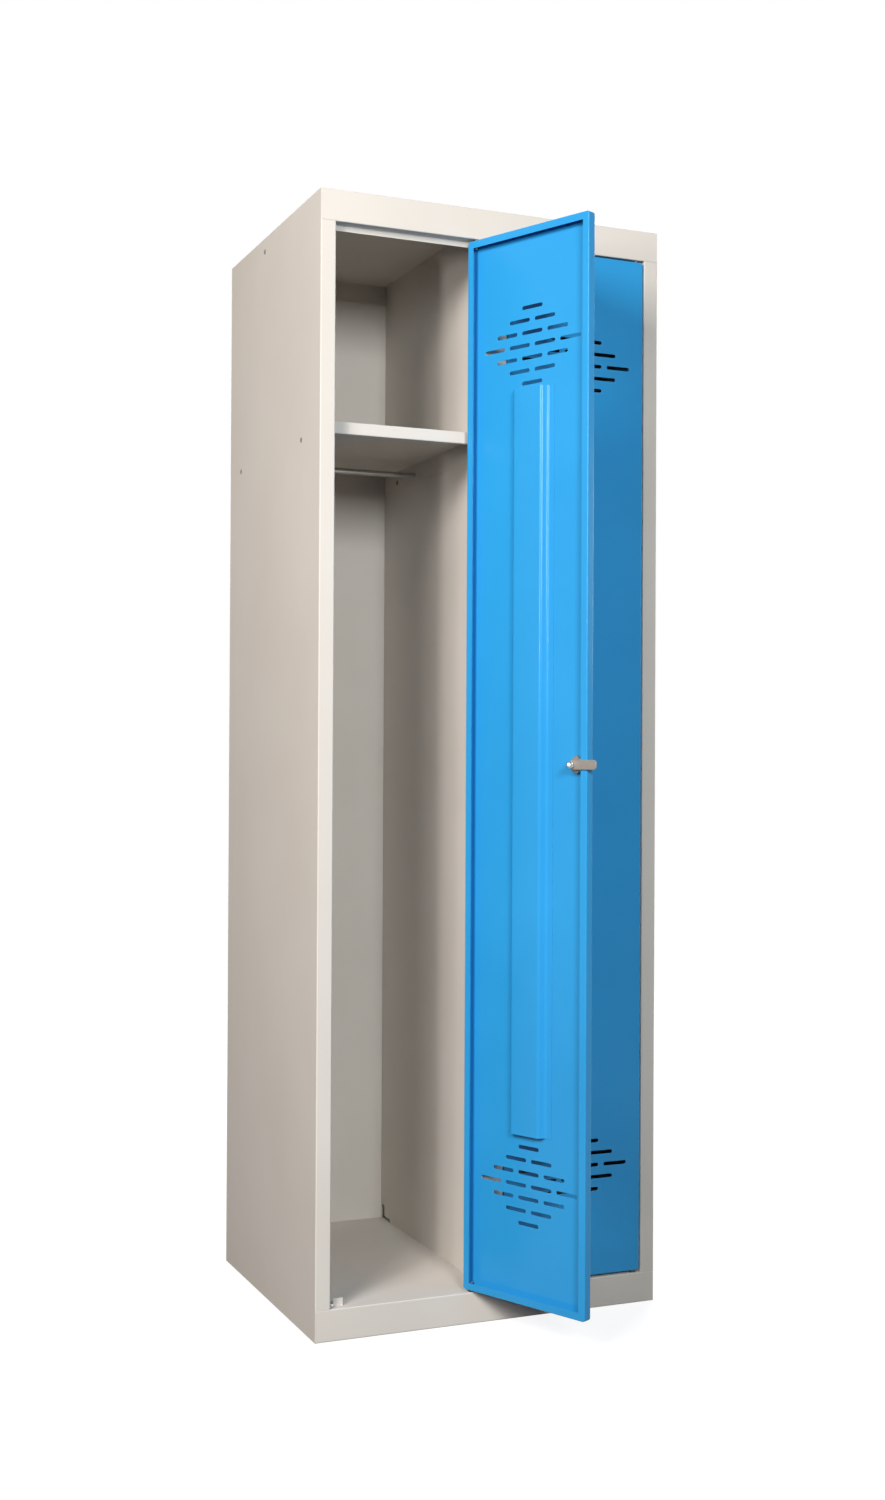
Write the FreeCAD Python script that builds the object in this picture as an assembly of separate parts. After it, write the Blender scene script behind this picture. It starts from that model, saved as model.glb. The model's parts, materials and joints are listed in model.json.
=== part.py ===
import FreeCAD, Part
import math
import os

from FreeCAD import Placement, Rotation, Vector

# A two-door steel clothes locker, folded from thin sheet. Millimetres, +Z up, +X to the right of someone who
# faces the doors, doors on the -Y side. The origin is the middle of the footprint, on the floor.
# The left door stands open at rest and the right door is closed. Both doors hang on their right-hand edge.

# Overall size of the carcass
width = 600.0
depth = 500.0
height = 1800.0
sheet = 0.8
bend = 1.0
bend_sides = 3
round_sides = 24

# Front frame: stiles folded from the side panels, a rail from the roof, a plinth from the floor, and a post
stile_width = 25.0
frame_return = 15.0
rail_height = 50.0
rail_return = 20.0
stop_lip = 9.0
plinth_height = 50.0
plinth_foot = 12.0
post_width = 40.0

# Flanges by which the panels are joined
rear_flange = 20.0
roof_flange = 35.0
floor_flange = 25.0
divider_flange = 15.0
divider_post_margin = 5.0
corner_relief = 0.5
notch_gap = 1.5
divider_slot_width = 4.0
divider_slot_rise = 26.0
divider_slot_run = 28.0
divider_slot_setback = 14.0

# Doors: shallow pans whose four edges are turned back and then in, as a lip
door_depth = 15.0
door_lip = 12.0
door_corner = 5.0
door_corner_sides = 4
door_rim_bevel = 1.0
free_gap = 2.0
hinge_gap = 2.5
top_gap = 3.0
bottom_gap = 4.0
left_door_opening = 113.8

# Vents: two diamonds of slots in each door
vent_rows = (1, 2, 3, 4, 3, 2, 1)
slot_length = 42.0
slot_height = 6.0
slot_end_sides = 4
slot_pitch = 52.0
row_pitch = 20.0
vent_inset = 183.0

# Stiffener welded inside each door: a hat section with soft folds
hat_crown = 56.0
hat_foot = 70.0
hat_rise = 11.0
hat_flange = 12.0
hat_bend = 4.0
hat_bend_sides = 5
hat_top_inset = 253.0
hat_bottom_inset = 264.0

# Pin hinges at the top and bottom of each door
pivot_inset = 10.0
pivot_setback = 6.0
pin_diameter = 6.0
pin_reach = 12.0
pin_head_diameter = 8.0
pin_head_height = 2.0
pin_clearance = 0.15
bush_diameter = 9.0
bush_flange_diameter = 10.0
bush_length = 9.0
running_clearance = 0.05
thrust_gap = 0.2
fit_clearance = 0.05

# Stop tabs lanced out of the floor behind the free edge of each door
tab_width = 16.0
tab_height = 12.0
tab_inset = 8.0
tab_gap = 0.3
tab_hole_margin = 1.0

# Cam locks
lock_inset = 26.0
lock_face_diameter = 22.0
lock_face_height = 2.5
lock_body_diameter = 19.0
lock_body_flats = 16.0
lock_nut_flats = 24.0
lock_nut_height = 9.0
plug_diameter = 13.0
plug_recess = 0.4
plug_clearance = 0.15
keyway_width = 1.8
keyway_height = 8.0
keyway_depth = 8.0
cam_width = 15.0
cam_thickness = 2.5
cam_overhang = 20.0
cam_corner = 5.0
cam_gap = 1.0
cam_square = 7.0
cam_end_gap = 0.3
cam_screw_diameter = 5.0
cam_screw_length = 9.0
cam_screw_flats = 10.0
cam_screw_head = 5.5
cam_screw_height = 12.0
cam_screw_dome = 9.5
dome_sides = 12
dome_bands = 3
dome_band_angle = 25.0

# Hat shelves and coat rails
shelf_level = 1442.0
shelf_setback = 28.0
shelf_lip = 19.5
shelf_hem = 10.0
shelf_flange = 35.0
shelf_back_gap = 1.5
rod_diameter = 10.0
rod_setback = 347.0
rod_clearance = 0.1
rod_end_gap = 0.2

# Blind rivets that hold the shelves and the roof: a wide head outside, and a bulb behind the last sheet
fixing_drop = 22.0
shelf_rivet_inset = 65.0
roof_rivet_drop = 23.0
roof_rivet_setback = 296.0
rivet_diameter = 3.2
rivet_sides = 8
rivet_head_sides = 12
rivet_head_diameter = 9.5
rivet_crown_diameter = 5.5
rivet_head_height = 1.2
rivet_bulb_diameter = 5.0
rivet_bulb_length = 3.0

# Planes that the pieces share
front = -depth / 2
back = depth / 2
side_face = width / 2 - sheet
back_face = back - 2 * sheet
floor_level = plinth_height
rail_level = height - rail_height
roof_under = height - sheet
divider_face = sheet / 2
fold = bend + sheet
relief = fold + corner_relief

# Doors in their closed place
door_bottom = floor_level + bottom_gap
door_top = rail_level - top_gap
door_width = width / 2 - stile_width - post_width / 2 - hinge_gap - free_gap
door_back = front + door_depth
right_hinge_edge = width / 2 - stile_width - hinge_gap
left_hinge_edge = -post_width / 2 - hinge_gap
pivot_y = front + pivot_setback
lock_level = (door_bottom + door_top) / 2
cam_front = door_depth + cam_gap
cam_back = cam_front + cam_thickness

# Shelf and fixing places
shelf_front = front + shelf_setback
shelf_back = back_face - shelf_back_gap
fixing_level = shelf_level - fixing_drop
shelf_rivet_places = (shelf_front + shelf_rivet_inset, shelf_back - shelf_rivet_inset)
roof_rivet_level = height - roof_rivet_drop
roof_rivet_place = front + roof_rivet_setback
rod_place = front + rod_setback


def box(x, y, z):
    """A block between two values of x, of y and of z."""
    return Part.makeBox(x[1] - x[0], y[1] - y[0], z[1] - z[0], Vector(x[0], y[0], z[0]))


def cylinder(diameter, start, along, length):
    return Part.makeCylinder(diameter / 2, length, start, along)


def left_of(direction):
    return Vector(-direction.y, direction.x, 0)


def fold_points(before, corner, after, radius, sides):
    """Points along the near face, and along the far face, of a sheet that folds at a corner."""
    into = (corner - before).normalize()
    out = (after - corner).normalize()
    turn = math.atan2(into.x * out.y - into.y * out.x, into.dot(out))
    side = math.copysign(1, turn)
    near = radius + sheet if side > 0 else radius
    centre = corner - into * near * math.tan(abs(turn) / 2) + left_of(into) * side * near
    spokes = []
    for step in range(sides + 1):
        spin = Rotation(Vector(0, 0, 1), math.degrees(turn) * step / sides)
        spokes.append(spin.multVec(left_of(into) * -side))
    return [[centre + spoke * reach for spoke in spokes] for reach in (near, near - side * sheet)]


def polygon(corners):
    """A flat face, from corners that may repeat one another."""
    kept = [corner for i, corner in enumerate(corners) if corner.distanceToPoint(corners[i - 1]) > 1e-6]
    return Part.Face(Part.makePolygon(kept + kept[:1]))


def folded(path, across, start, end, radius=bend, sides=bend_sides):
    """A folded sheet: its face follows the path, the metal lies on the path's left, and it runs across.

    The path is in (x, y) for a sheet that runs across "z", (y, z) for "x", and (x, z) for "y".
    Each bend is drawn with a few flat sides.
    """
    points = [Vector(a, b, 0) for a, b in path]
    folds = [fold_points(*points[i - 1:i + 2], radius, sides) for i in range(1, len(points) - 1)]
    first_left = left_of((points[1] - points[0]).normalize()) * sheet
    last_left = left_of((points[-1] - points[-2]).normalize()) * sheet
    near = [points[0]] + sum([fold[0] for fold in folds], []) + [points[-1]]
    far = [points[0] + first_left] + sum([fold[1] for fold in folds], []) + [points[-1] + last_left]
    solid = polygon(near + far[::-1]).extrude(Vector(0, 0, end - start))
    places = {
        "z": Placement(Vector(0, 0, start), Rotation()),
        "x": Placement(Vector(start, 0, 0), Rotation(Vector(1, 1, 1), 120)),
        "y": Placement(Vector(0, end, 0), Rotation(Vector(1, 0, 0), 90)),
    }
    solid.Placement = places[across]
    return solid


def joined(pieces):
    """One folded piece of sheet from its flat and its flanges."""
    return pieces[0].fuse(pieces[1:]).removeSplitter()


def flanged_plate(x, y, level, front_path, side_depth, back_depth, front_span):
    """A flat sheet with its front folded along a path and its sides and back turned down."""
    flat = box((x[0] + fold, x[1] - fold), (y[0] + fold, y[1] - fold), (level - sheet, level))
    left_path = [(x[0] + fold, level), (x[0], level), (x[0], level - side_depth)]
    right_path = [(x[1], level - side_depth), (x[1], level), (x[1] - fold, level)]
    back_path = [(y[1], level - back_depth), (y[1], level), (y[1] - fold, level)]
    run = (y[0] + relief, y[1] - relief)
    return joined([
        flat,
        folded([(y[0] + fold, level), (y[0], level)] + front_path, "x", *front_span),
        folded(left_path, "y", *run),
        folded(right_path, "y", *run),
        folded(back_path, "x", x[0] + relief, x[1] - relief),
    ])


def mirrored(shape):
    return shape.mirror(Vector(0, 0, 0), Vector(1, 0, 0))


def turned(profile):
    """A round piece about the z axis, from its outline in (radius, height)."""
    corners = [Vector(radius, 0, at) for radius, at in profile]
    return polygon(corners).revolve(Vector(0, 0, 0), Vector(0, 0, 1), 360)


def ring(sides, radius, level):
    """The corners of a regular polygon about the z axis."""
    spins = [Rotation(Vector(0, 0, 1), 360 * step / sides) for step in range(sides)]
    return [spin.multVec(Vector(radius, 0, level)) for spin in spins]


def prism(sides, radius, bottom, top):
    """An upright prism about the z axis, with its corners on a circle."""
    return polygon(ring(sides, radius, bottom)).extrude(Vector(0, 0, top - bottom))


def cone(sides, low_radius, high_radius, bottom, top):
    """An upright piece about the z axis with flat, sloping sides."""
    low = ring(sides, low_radius, bottom)
    high = ring(sides, high_radius, top)
    slopes = [polygon([low[i - 1], low[i], high[i], high[i - 1]]) for i in range(sides)]
    return Part.makeSolid(Part.makeShell([polygon(low), polygon(high)] + slopes))


def hexagon(flats, bottom, top):
    """A six-sided prism, measured across its flats."""
    return prism(6, flats / math.sqrt(3), bottom, top)


def disc(diameter, bottom, top):
    """A small round piece, drawn with flat sides to keep it light."""
    return prism(round_sides, diameter / 2, bottom, top)


def threads(diameter, bottom, top):
    """A six-sided stand-in for a screw thread, or for a tapped hole."""
    return prism(6, diameter / 2, bottom, top)


def across_to_right(shape, x, y, z):
    """A copy of a rivet or of its hole, turned to point along +x from a place."""
    copy = shape.copy()
    copy.Placement = Placement(Vector(x, y, z), Rotation(Vector(0, 1, 0), 90))
    return copy


def rivet_hole(x, y, z):
    """A cutter for the holes of a rivet that runs along x."""
    radius = rivet_diameter / 2 + fit_clearance
    return across_to_right(prism(rivet_sides, radius, 0, x[1] - x[0]), x[0], y, z)


def side_panel():
    """The left side: front stile with its return, side wall and rear flange, from one sheet."""
    outer = -width / 2
    inner = outer + stile_width
    path = [(outer + rear_flange, back), (outer, back), (outer, front), (inner, front)]
    wall = folded(path + [(inner, front + frame_return)], "z", 0, height)
    stile = ((outer + sheet, inner), (front, front + frame_return))
    for ends in ((0, floor_level), (rail_level, height)):
        wall = wall.cut(box(*stile, ends))
    through = (outer, -side_face)
    wall = wall.cut(rivet_hole(through, roof_rivet_place, roof_rivet_level))
    for y in shelf_rivet_places:
        wall = wall.cut(rivet_hole(through, y, fixing_level))
    return wall


def back_panel():
    """The flat back, kept clear of the bends in the two side panels."""
    reach = side_face - fold
    return box((-reach, reach), (back_face, back - sheet), (0, height))


def roof_panel():
    """The roof, with the front rail, the rail's return and the lip that the doors shut against."""
    lip_face = front + rail_return
    rail = [(front, rail_level), (lip_face, rail_level), (lip_face, rail_level - stop_lip)]
    reach = (-side_face, side_face)
    roof = flanged_plate(reach, (front, back_face), height, rail, roof_flange, roof_flange, reach)
    for pivot in hinge_places():
        roof = roof.cut(pin_hole(pivot, rail_level))
    return roof.cut(rivet_hole(reach, roof_rivet_place, roof_rivet_level))


def floor_panel():
    """The floor, with the plinth folded down at its front and a stop tab lanced up for each door."""
    plinth = [(front, 0), (front + plinth_foot, 0)]
    reach = (-side_face, side_face)
    floor = flanged_plate(reach, (front, back_face), floor_level, plinth, floor_flange, floor_flange, reach)
    for pivot in hinge_places():
        floor = floor.cut(pin_hole(pivot, floor_level - sheet))
    for free_edge in (left_hinge_edge - door_width, right_hinge_edge - door_width):
        floor = with_stop_tab(floor, free_edge + tab_inset)
    return floor


def with_stop_tab(floor, start):
    """The floor with one tab cut on three sides and bent up, just behind the closed door."""
    rear = door_back + tab_gap + sheet
    under = floor_level - sheet
    margin = (start - tab_hole_margin, start + tab_width + tab_hole_margin)
    opening = box(margin, (rear - fold, rear + tab_height), (under, floor_level))
    path = [(rear - fold, under), (rear, under), (rear, floor_level + tab_height)]
    return joined([floor.cut(opening), folded(path, "x", start, start + tab_width)])


def centre_post():
    edge = post_width / 2
    rear = front + frame_return
    path = [(-edge, rear), (-edge, front), (edge, front), (edge, rear)]
    return folded(path, "z", floor_level, rail_level)


def centre_divider():
    """The wall between the compartments, flanged to the post and the back and notched round the rail."""
    post_face = front + sheet
    path = [(divider_flange, back_face), (-divider_face, back_face), (-divider_face, post_face)]
    post_flange = (post_width / 2 - divider_post_margin, post_face)
    wall = folded(path + [post_flange], "z", floor_level, roof_under)
    across = (-width, width)
    lip_front = front + rail_return - notch_gap
    lip_back = front + rail_return + sheet + notch_gap
    over_return = rail_level + sheet + notch_gap
    wall = wall.cut(box(across, (front, lip_back), (rail_level - notch_gap, over_return)))
    wall = wall.cut(box(across, (lip_front, lip_back), (rail_level - stop_lip - notch_gap, over_return)))
    wall = wall.cut(box(across, (front, post_face + relief), (rail_level, height)))
    under_roof_flange = (height - roof_flange - notch_gap, height)
    wall = wall.cut(box(across, (back_face - sheet - notch_gap, back), under_roof_flange))
    slot_back = back_face - divider_slot_setback
    slot_rise = (floor_level, floor_level + divider_slot_rise)
    slot_run = (floor_level, floor_level + divider_slot_width)
    wall = wall.cut(box(across, (slot_back - divider_slot_width, slot_back), slot_rise))
    wall = wall.cut(box(across, (slot_back - divider_slot_run, slot_back), slot_run))
    for y in shelf_rivet_places:
        wall = wall.cut(rivet_hole((-divider_face, divider_face), y, fixing_level))
    return wall


def hat_shelf():
    """The left shelf: a tray turned upside down, hemmed in front. Its deep sides carry the coat rail."""
    lip_level = shelf_level - shelf_lip
    lip = [(shelf_front, lip_level), (shelf_front + shelf_hem, lip_level)]
    x = (-side_face, -divider_face)
    y = (shelf_front, shelf_back)
    lip_span = (x[0] + relief, x[1] - relief)
    shelf = flanged_plate(x, y, shelf_level, lip, shelf_flange, shelf_lip, lip_span)
    for place in shelf_rivet_places:
        shelf = shelf.cut(rivet_hole(x, place, fixing_level))
    rod_axis = Vector(x[0], rod_place, fixing_level)
    return shelf.cut(cylinder(rod_diameter + 2 * rod_clearance, rod_axis, Vector(1, 0, 0), x[1] - x[0]))


def coat_rail():
    """The left rod, held at both ends in the sides of the shelf."""
    start = -side_face + rod_end_gap
    end = -divider_face - rod_end_gap
    return cylinder(rod_diameter, Vector(start, rod_place, fixing_level), Vector(1, 0, 0), end - start)


def rivet(grip):
    """A set rivet along +z: its head stands below z = 0 and its bulb begins where the gripped sheets end."""
    crown = rivet_crown_diameter / 2
    head = cone(rivet_head_sides, crown, rivet_head_diameter / 2, -rivet_head_height, 0)
    shank = prism(rivet_sides, rivet_diameter / 2, 0, grip)
    bulb = prism(rivet_sides, rivet_bulb_diameter / 2, grip, grip + rivet_bulb_length)
    return head.fuse([shank, bulb])


def side_rivets(places):
    """Rivets through the left side panel and, mirrored, through the right one."""
    left = [across_to_right(rivet(2 * sheet), -width / 2, y, z) for y, z in places]
    return Part.makeCompound(left + [mirrored(one) for one in left])


def divider_rivets(places):
    """Rivets through the sides of both shelves and the divider between them."""
    start = -divider_face - sheet
    return Part.makeCompound([across_to_right(rivet(3 * sheet), start, y, z) for y, z in places])


def hinge_places():
    """The x of each door's hinge pins, left door first."""
    return left_hinge_edge - pivot_inset, right_hinge_edge - pivot_inset


def pin_hole(x, under):
    bore = pin_diameter + 2 * pin_clearance
    return cylinder(bore, Vector(x, pivot_y, under), Vector(0, 0, 1), sheet)


def hinge_pin(gap):
    """A headed pin: z = 0 is the sheet's face, with the head behind it and the pin pointing into the door."""
    head = pin_head_diameter / 2
    pin = pin_diameter / 2
    tip = gap + pin_reach
    back_of_head = -sheet - pin_head_height
    outline = [(0, back_of_head), (head, back_of_head), (head, -sheet)]
    return turned(outline + [(pin, -sheet), (pin, tip), (0, tip)])


def hinge_bush(gap):
    """A flanged plastic bush: its flange runs on the sheet round the pin, its sleeve is in the door."""
    bore = pin_diameter / 2 + running_clearance
    sleeve = bush_diameter / 2
    flange = bush_flange_diameter / 2
    top = gap + bush_length
    outline = [(bore, thrust_gap), (flange, thrust_gap), (flange, gap), (sleeve, gap)]
    return turned(outline + [(sleeve, top), (bore, top)])


def at_hinge(shape, x, upper):
    """A hinge piece set on the floor or, upside down, under the rail."""
    copy = shape.copy()
    turn = Rotation(Vector(1, 0, 0), 180) if upper else Rotation()
    copy.Placement = Placement(Vector(x, pivot_y, rail_level if upper else floor_level), turn)
    return copy


def arc_corners(x, z, radius, first, sweep, sides):
    """Corners along an arc that stands in the plane of the doors' fronts."""
    angles = [math.radians(first + sweep * step / sides) for step in range(sides + 1)]
    return [Vector(x + radius * math.cos(angle), front, z + radius * math.sin(angle)) for angle in angles]


def door_block(inset):
    """A block of the closed right door's outline, smaller all round by an inset, with rounded corners."""
    radius = door_corner - inset
    left = right_hinge_edge - door_width + door_corner
    right = right_hinge_edge - door_corner
    low = door_bottom + door_corner
    high = door_top - door_corner
    outline = []
    for x, z, first in ((right, low, -90), (right, high, 0), (left, high, 90), (left, low, 180)):
        outline += arc_corners(x, z, radius, first, 90, door_corner_sides)
    block = polygon(outline).extrude(Vector(0, door_depth - 2 * inset, 0))
    block.translate(Vector(0, inset, 0))
    return block


def vent_slot(x, z):
    """One slot with rounded ends, as a cutter that passes the door's front sheet."""
    radius = slot_height / 2
    half = slot_length / 2 - radius
    right_end = arc_corners(x + half, z, radius, -90, 180, slot_end_sides)
    left_end = arc_corners(x - half, z, radius, 90, 180, slot_end_sides)
    return polygon(right_end + left_end).extrude(Vector(0, sheet, 0))


def vent_slots():
    """The slots of both diamonds, row by row."""
    middle = right_hinge_edge - door_width / 2
    slots = []
    for centre in (door_bottom + vent_inset, door_top - vent_inset):
        for row, count in enumerate(vent_rows):
            z = centre + (len(vent_rows) // 2 - row) * row_pitch
            for column in range(count):
                slots.append(vent_slot(middle + (column - (count - 1) / 2) * slot_pitch, z))
    return slots


def door_pan():
    """The right door closed: a pan with return lips, vents and holes for the lock and the hinge bushes."""
    x = (right_hinge_edge - door_width + door_lip, right_hinge_edge - door_lip)
    mouth = box(x, (door_back - sheet, door_back), (door_bottom + door_lip, door_top - door_lip))
    block = door_block(0)
    rims = [edge for edge in block.Edges if edge.BoundBox.YLength < 1e-6]
    pan = block.makeChamfer(door_rim_bevel, rims).cut([door_block(sheet), mouth] + vent_slots())
    round_hole = disc(lock_body_diameter + 2 * fit_clearance, 0, sheet)
    cutters = [at_lock(round_hole.common(lock_bar(2 * fit_clearance)))]
    bush_hole = bush_diameter + 2 * fit_clearance
    for level in (door_bottom, door_top - sheet):
        start = Vector(right_hinge_edge - pivot_inset, pivot_y, level)
        cutters.append(cylinder(bush_hole, start, Vector(0, 0, 1), sheet))
    return pan.cut(cutters)


def door_stiffener():
    """The hat section that stands upright on the inside of the right door's front sheet."""
    middle = right_hinge_edge - door_width / 2
    floor = front + sheet
    crest = floor + hat_rise
    half = ((hat_foot / 2 + hat_flange, floor), (hat_foot / 2, floor), (hat_crown / 2, crest))
    path = [(middle - across, y) for across, y in half]
    path += [(middle + across, y) for across, y in reversed(half)]
    ends = (door_bottom + hat_bottom_inset, door_top - hat_top_inset)
    return folded(path, "z", *ends, radius=hat_bend, sides=hat_bend_sides)


def lock_bar(growth=0.0):
    """A long block between the two flats of the lock body."""
    half = lock_body_flats / 2 + growth / 2
    return box((-half, half), (-lock_face_diameter, lock_face_diameter), (-lock_face_height, cam_back))


def lock_housing():
    """The lock's body about z: a face outside the door, and a barrel with two flats inside it."""
    end = cam_front - cam_end_gap
    face = disc(lock_face_diameter, -lock_face_height, 0)
    body = disc(lock_body_diameter, 0, end).common(lock_bar())
    return face.fuse(body).cut(disc(plug_diameter + 2 * plug_clearance, -lock_face_height, end))


def lock_nut():
    top = sheet + lock_nut_height
    bore = disc(lock_body_diameter + 2 * fit_clearance, sheet, top)
    return hexagon(lock_nut_flats, sheet, top).cut(bore)


def lock_plug():
    """The part that the key turns: a barrel with the keyway, and a square end that drives the cam."""
    face = -lock_face_height + plug_recess
    half = cam_square / 2
    key_half = keyway_width / 2
    square = box((-half, half), (-half, half), (cam_front, cam_back - fit_clearance))
    keyway = box((-key_half, key_half), (-keyway_height / 2, keyway_height / 2), (face, face + keyway_depth))
    tapped = threads(cam_screw_diameter + 2 * fit_clearance, cam_front - cam_screw_length, cam_back)
    barrel = cylinder(plug_diameter, Vector(0, 0, face), Vector(0, 0, 1), cam_front - face)
    return barrel.fuse(square).cut([keyway, tapped])


def lock_cam():
    """The tongue, pointing along -x from the lock's axis."""
    half = cam_width / 2
    reach = lock_inset + cam_overhang
    tongue = box((-reach, 0), (-half, half), (cam_front, cam_back))
    end_edges = [edge for edge in tongue.Edges if edge.BoundBox.XMax < -reach + 1e-6]
    tongue = tongue.makeFillet(cam_corner, [edge for edge in end_edges if edge.BoundBox.ZLength > 1e-6])
    square = cam_square / 2 + fit_clearance
    hole = box((-square, square), (-square, square), (cam_front, cam_back))
    return tongue.fuse(disc(cam_width, cam_front, cam_back)).removeSplitter().cut(hole)


def cam_screw():
    """A hexagon screw whose head ends in a dome, drawn as a few sloping bands."""
    shank = threads(cam_screw_diameter, cam_front - cam_screw_length + 2 * fit_clearance, cam_back)
    head_top = cam_back + cam_screw_head
    radius = cam_screw_dome / 2
    angles = [math.radians(dome_band_angle * band) for band in range(dome_bands + 1)]
    spring = cam_back + cam_screw_height - radius * math.sin(angles[-1])
    pieces = [shank, prism(dome_sides, radius, head_top, spring)]
    for low, high in zip(angles, angles[1:]):
        radii = (radius * math.cos(low), radius * math.cos(high))
        pieces.append(cone(dome_sides, *radii, spring + radius * math.sin(low), spring + radius * math.sin(high)))
    return hexagon(cam_screw_flats, cam_back, head_top).fuse(pieces).removeSplitter()


def at_lock(shape, turn=0.0):
    """A lock piece in the closed right door, turned about the lock's axis from the locked position."""
    place = Vector(right_hinge_edge - door_width + lock_inset, front, lock_level)
    to_door = Rotation(Vector(1, 0, 0), -90)
    copy = shape.copy()
    copy.Placement = Placement(place, to_door.multiply(Rotation(Vector(0, 0, 1), turn)))
    return copy


def in_left_door(shape):
    """A copy of a piece of the closed right door, moved to the left door and swung open with it."""
    copy = shape.copy()
    copy.translate(Vector(left_hinge_edge - right_hinge_edge, 0, 0))
    pivot = Vector(left_hinge_edge - pivot_inset, pivot_y, 0)
    copy.rotate(pivot, Vector(0, 0, 1), left_door_opening)
    return copy


def carcass_nodes():
    """The folded panels and the rods."""
    return {
        "left_side_panel": side_panel(),
        "right_side_panel": mirrored(side_panel()),
        "back_panel": back_panel(),
        "roof_panel": roof_panel(),
        "floor_panel": floor_panel(),
        "centre_post": centre_post(),
        "centre_divider": centre_divider(),
        "left_hat_shelf": hat_shelf(),
        "right_hat_shelf": mirrored(hat_shelf()),
        "left_coat_rail": coat_rail(),
        "right_coat_rail": mirrored(coat_rail()),
    }


def rivet_nodes():
    """The rivets that hold each kind of piece, as one group."""
    shelf_places = [(y, fixing_level) for y in shelf_rivet_places]
    return {
        "shelf_rivets": side_rivets(shelf_places),
        "roof_rivets": side_rivets([(roof_rivet_place, roof_rivet_level)]),
        "divider_rivets": divider_rivets(shelf_places),
    }


def top_and_bottom(make, x):
    """A hinge piece at the bottom and at the top of a door, as one group."""
    ends = ((False, bottom_gap), (True, top_gap))
    return Part.makeCompound([at_hinge(make(gap), x, upper) for upper, gap in ends])


def hinge_nodes():
    """Pins on the carcass and bushes in the doors."""
    left_x, right_x = hinge_places()
    return {
        "left_hinge_pins": top_and_bottom(hinge_pin, left_x),
        "right_hinge_pins": top_and_bottom(hinge_pin, right_x),
        "left_hinge_bushes": in_left_door(top_and_bottom(hinge_bush, right_x)),
        "right_hinge_bushes": top_and_bottom(hinge_bush, right_x),
    }


def door_nodes():
    """Both doors with their stiffeners and locks. The left cam lies across its door, the right hangs down."""
    fixed = {
        "door": door_pan(),
        "door_stiffener": door_stiffener(),
        "lock_housing": at_lock(lock_housing()),
        "lock_nut": at_lock(lock_nut()),
    }
    turning = {
        "lock_plug": lock_plug(),
        "lock_cam": lock_cam(),
        "cam_screw": cam_screw(),
    }
    nodes = {}
    for name, shape in fixed.items():
        nodes[f"left_{name}"] = in_left_door(shape)
        nodes[f"right_{name}"] = shape
    for name, shape in turning.items():
        nodes[f"left_{name}"] = in_left_door(at_lock(shape))
        nodes[f"right_{name}"] = at_lock(shape, turn=-90)
    return nodes


os.makedirs("parts", exist_ok=True)
for name, shape in {**carcass_nodes(), **rivet_nodes(), **hinge_nodes(), **door_nodes()}.items():
    solids = shape.Solids
    if not shape.isValid():
        raise ValueError(f"{name} is not a valid solid")
    shape.exportStep(f"parts/{name}.step")
    print(name, len(solids), "solids", round(shape.Volume), "mm3")
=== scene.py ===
# %% [markdown]
# # A two-door steel locker
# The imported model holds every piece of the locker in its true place, with bends drawn as a few flats. This
# lesson gives each piece its real surface: sheet with round bends, punched slots, turned metal and paint.
# Everything is in metres, with +Z up, the doors on the -Y side and the origin on the floor, mid-footprint.

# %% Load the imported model
import json
import math

import bmesh
import bpy
import numpy as np
from mathutils import Matrix, Vector
from mathutils.geometry import delaunay_2d_cdt

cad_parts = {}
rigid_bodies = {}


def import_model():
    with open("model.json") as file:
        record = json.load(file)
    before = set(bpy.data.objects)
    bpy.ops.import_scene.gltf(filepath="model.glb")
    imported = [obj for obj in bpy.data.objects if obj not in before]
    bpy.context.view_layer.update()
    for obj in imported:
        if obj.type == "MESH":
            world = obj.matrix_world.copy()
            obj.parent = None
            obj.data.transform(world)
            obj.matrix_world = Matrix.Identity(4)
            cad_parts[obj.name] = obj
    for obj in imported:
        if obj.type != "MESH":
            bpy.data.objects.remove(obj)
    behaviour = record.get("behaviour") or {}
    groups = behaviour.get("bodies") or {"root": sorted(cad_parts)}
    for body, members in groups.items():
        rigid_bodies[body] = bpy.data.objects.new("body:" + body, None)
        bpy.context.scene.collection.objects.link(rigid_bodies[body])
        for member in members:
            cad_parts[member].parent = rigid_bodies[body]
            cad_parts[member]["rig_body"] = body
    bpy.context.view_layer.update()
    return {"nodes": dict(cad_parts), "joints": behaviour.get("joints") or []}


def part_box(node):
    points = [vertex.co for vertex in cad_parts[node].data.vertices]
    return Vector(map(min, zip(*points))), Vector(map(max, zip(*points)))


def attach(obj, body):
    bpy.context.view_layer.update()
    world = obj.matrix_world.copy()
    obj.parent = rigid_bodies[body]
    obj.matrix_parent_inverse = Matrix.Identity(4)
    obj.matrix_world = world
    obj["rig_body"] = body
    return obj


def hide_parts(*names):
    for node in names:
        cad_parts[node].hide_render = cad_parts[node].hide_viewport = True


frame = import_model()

mm = 0.001
pivots = {joint["name"]: Vector(joint["pos_m"]) for joint in frame["joints"]}
ranges = {joint["name"]: joint["range_deg"] for joint in frame["joints"]}


# %% [markdown]
# ## Camera
# The photograph was taken from about waist height, a little to the left, with the camera almost level. A
# camera could be placed by eye, but eighteen corners of the carcass fix it exactly: where it stands, how it
# is turned, and its focal length in pixels, which the sensor height turns into millimetres of lens.

# %% Camera at the photograph's viewpoint
picture_height_px = 1500
focal_length_px = 1766.63
sensor_height_mm = 36.0
viewpoint = (-1.1913, -2.8569, 0.89938)
heading_deg = -22.9
tilt_deg = 90.4806
lean_deg = 0.2838

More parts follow.
